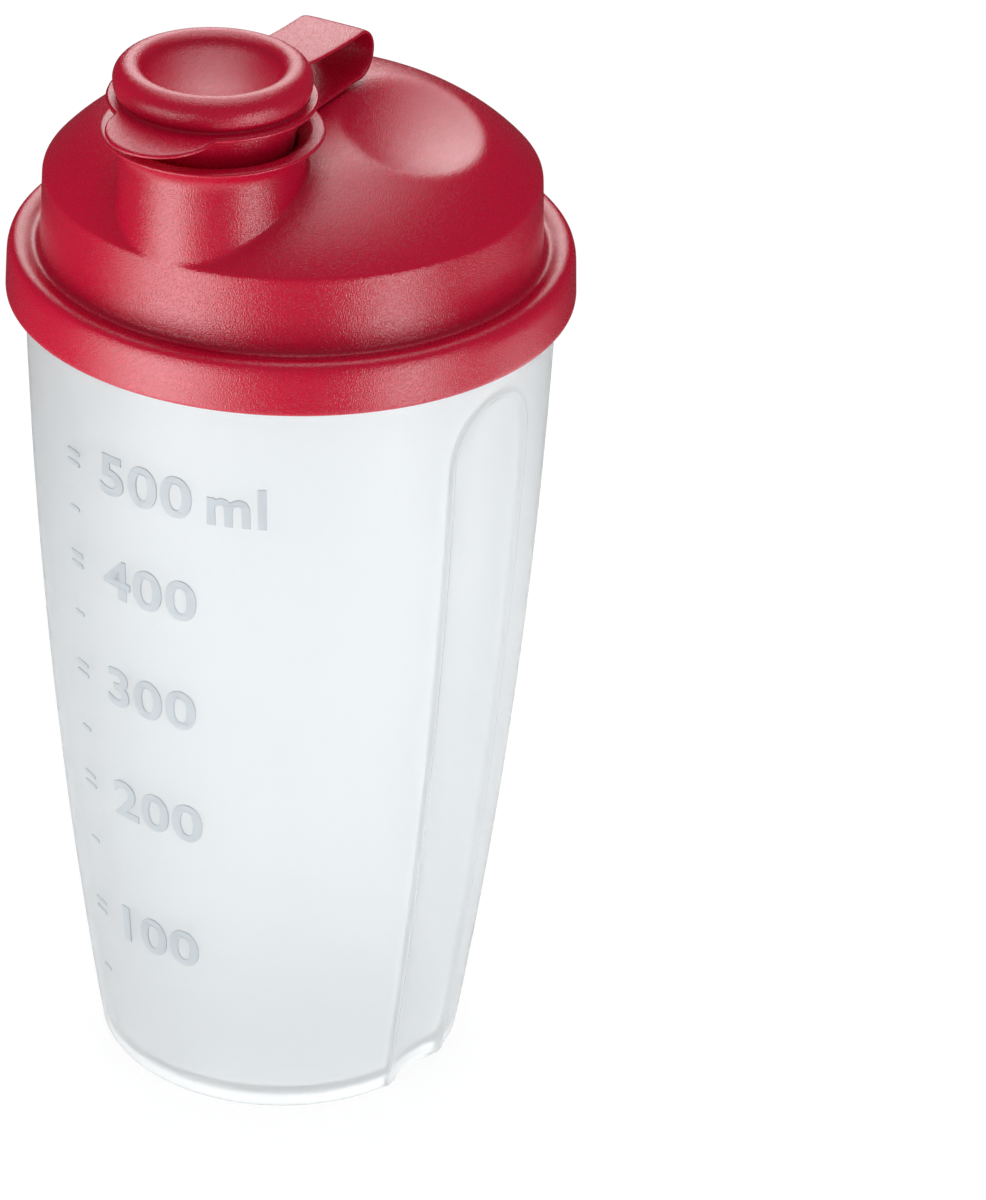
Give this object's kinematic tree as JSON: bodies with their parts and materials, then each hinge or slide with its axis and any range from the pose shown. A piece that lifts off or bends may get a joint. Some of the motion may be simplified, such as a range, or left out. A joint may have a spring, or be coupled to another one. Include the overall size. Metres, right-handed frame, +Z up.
{
  "type": "salad dressing shaker bottle",
  "caption": "Tapered translucent shaker cup with finger grips and a scale, a press-on domed lid with pouring spout, a captive flip cap on a folded strap, and a sieve inside.",
  "frame": {"origin": "centre of the foot, on the plane that the cup stands on", "axes": "+Z up the bottle's axis, the spout and the cap's thumb tab towards -Y, the strap's fold towards +Y, +X to the right seen from the spout's side"},
  "size_m": [0.092, 0.0942, 0.1895],
  "materials": {
    "cup": "milky, translucent",
    "lid": "fine grain",
    "strap": "fine grain",
    "cap": "fine grain",
    "sieve": "smooth"
  },
  "bodies": {
    "cup": {"cup": "cup"},
    "lid": {"lid": "lid", "strap": "strap"},
    "cap": {"cap": "cap"},
    "sieve": {"sieve": "sieve"}
  },
  "joints": [
    {"name": "lid_lift", "type": "slide", "parent": "cup", "child": "lid", "axis": [0, 0, 1], "range_m": [0, 0.04]},
    {"name": "cap_swing", "type": "hinge", "parent": "lid", "child": "cap", "pos_m": [0, 0.0149, 0.17852], "axis": [-1, 0, 0], "range_deg": [0, 180], "deforming": ["strap"]},
    {"name": "sieve_pull", "type": "slide", "parent": "lid", "child": "sieve", "axis": [0, 0, -1], "range_m": [0, 0.008]}
  ]
}
